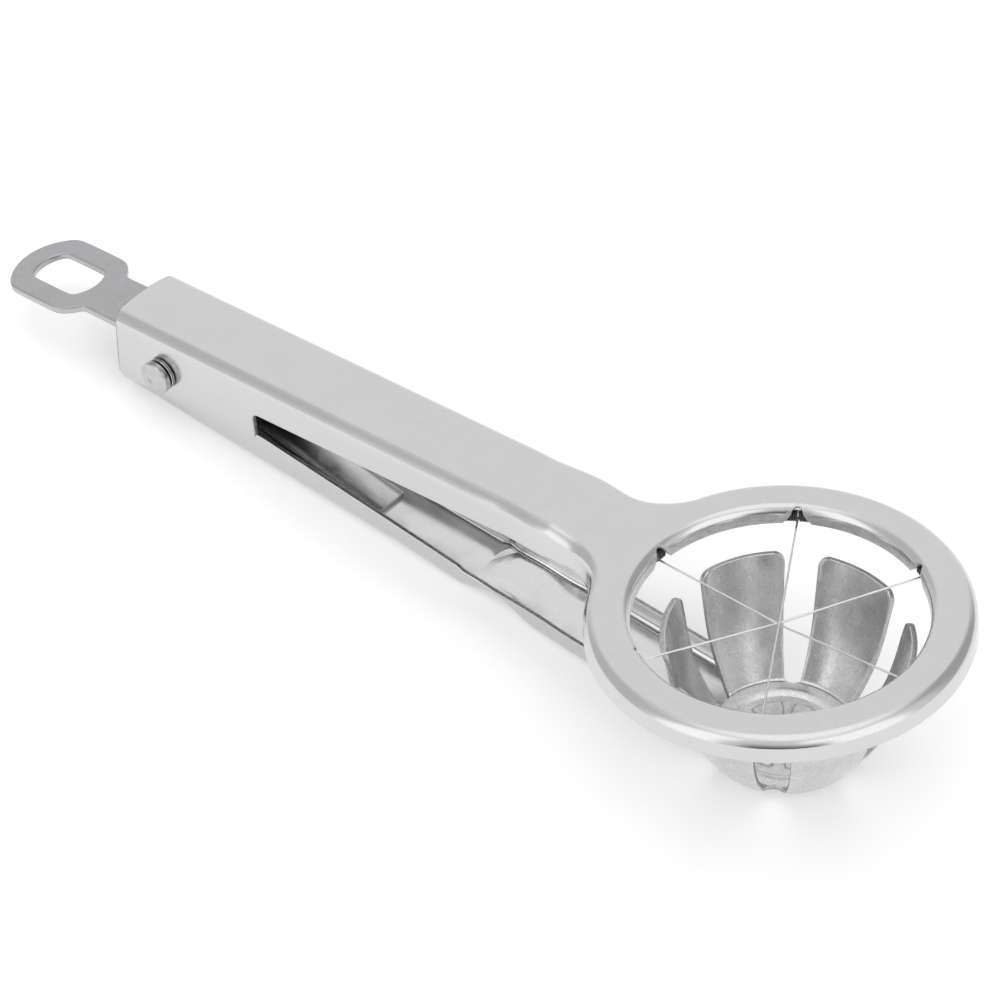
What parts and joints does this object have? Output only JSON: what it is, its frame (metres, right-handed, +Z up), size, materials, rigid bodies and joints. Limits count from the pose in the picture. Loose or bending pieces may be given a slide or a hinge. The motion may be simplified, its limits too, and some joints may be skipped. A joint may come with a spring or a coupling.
{
  "type": "egg wedger",
  "caption": "Handheld egg wedger: a hinged ring frame strung with cutting wires closes over a slotted petal cup.",
  "frame": {"origin": "middle of the bounding box, on the lower arm's flat bottom", "axes": "+X along the arms towards the ring and cup, +Y across, +Z up from the lower arm to the upper arm"},
  "size_m": [0.2229, 0.068, 0.0361],
  "materials": {
    "arm_steel": "satin, polished on the bends",
    "cup_steel": "drawn, mottled satin",
    "wire_steel": "bright drawn wire",
    "pin_steel": "turned",
    "tab_steel": "dull tumbled",
    "spring_steel": "plain rolled"
  },
  "bodies": {
    "lower": {"lower_arm": "arm_steel", "petal_cup": "cup_steel", "hinge_pin": "pin_steel", "pin_washer": "pin_steel", "leaf_spring": "spring_steel"},
    "upper": {"upper_arm": "arm_steel", "wire_1": "wire_steel", "wire_2": "wire_steel", "wire_3": "wire_steel", "wire_hoop": "wire_steel"},
    "tab": {"lock_tab": "tab_steel"}
  },
  "joints": [
    {"name": "arm_pivot", "type": "hinge", "parent": "lower", "child": "upper", "pos_m": [-0.06511, 0, 0.0106], "axis": [0, -1, 0], "range_deg": [-9, 18], "stiffness_Nm_per_rad": 0.8, "springref_deg": 4.24, "deforming": ["leaf_spring"]},
    {"name": "tab_slide", "type": "slide", "parent": "upper", "child": "tab", "axis": [0.9952, 0, 0.0976], "range_m": [0, 0.008]}
  ]
}
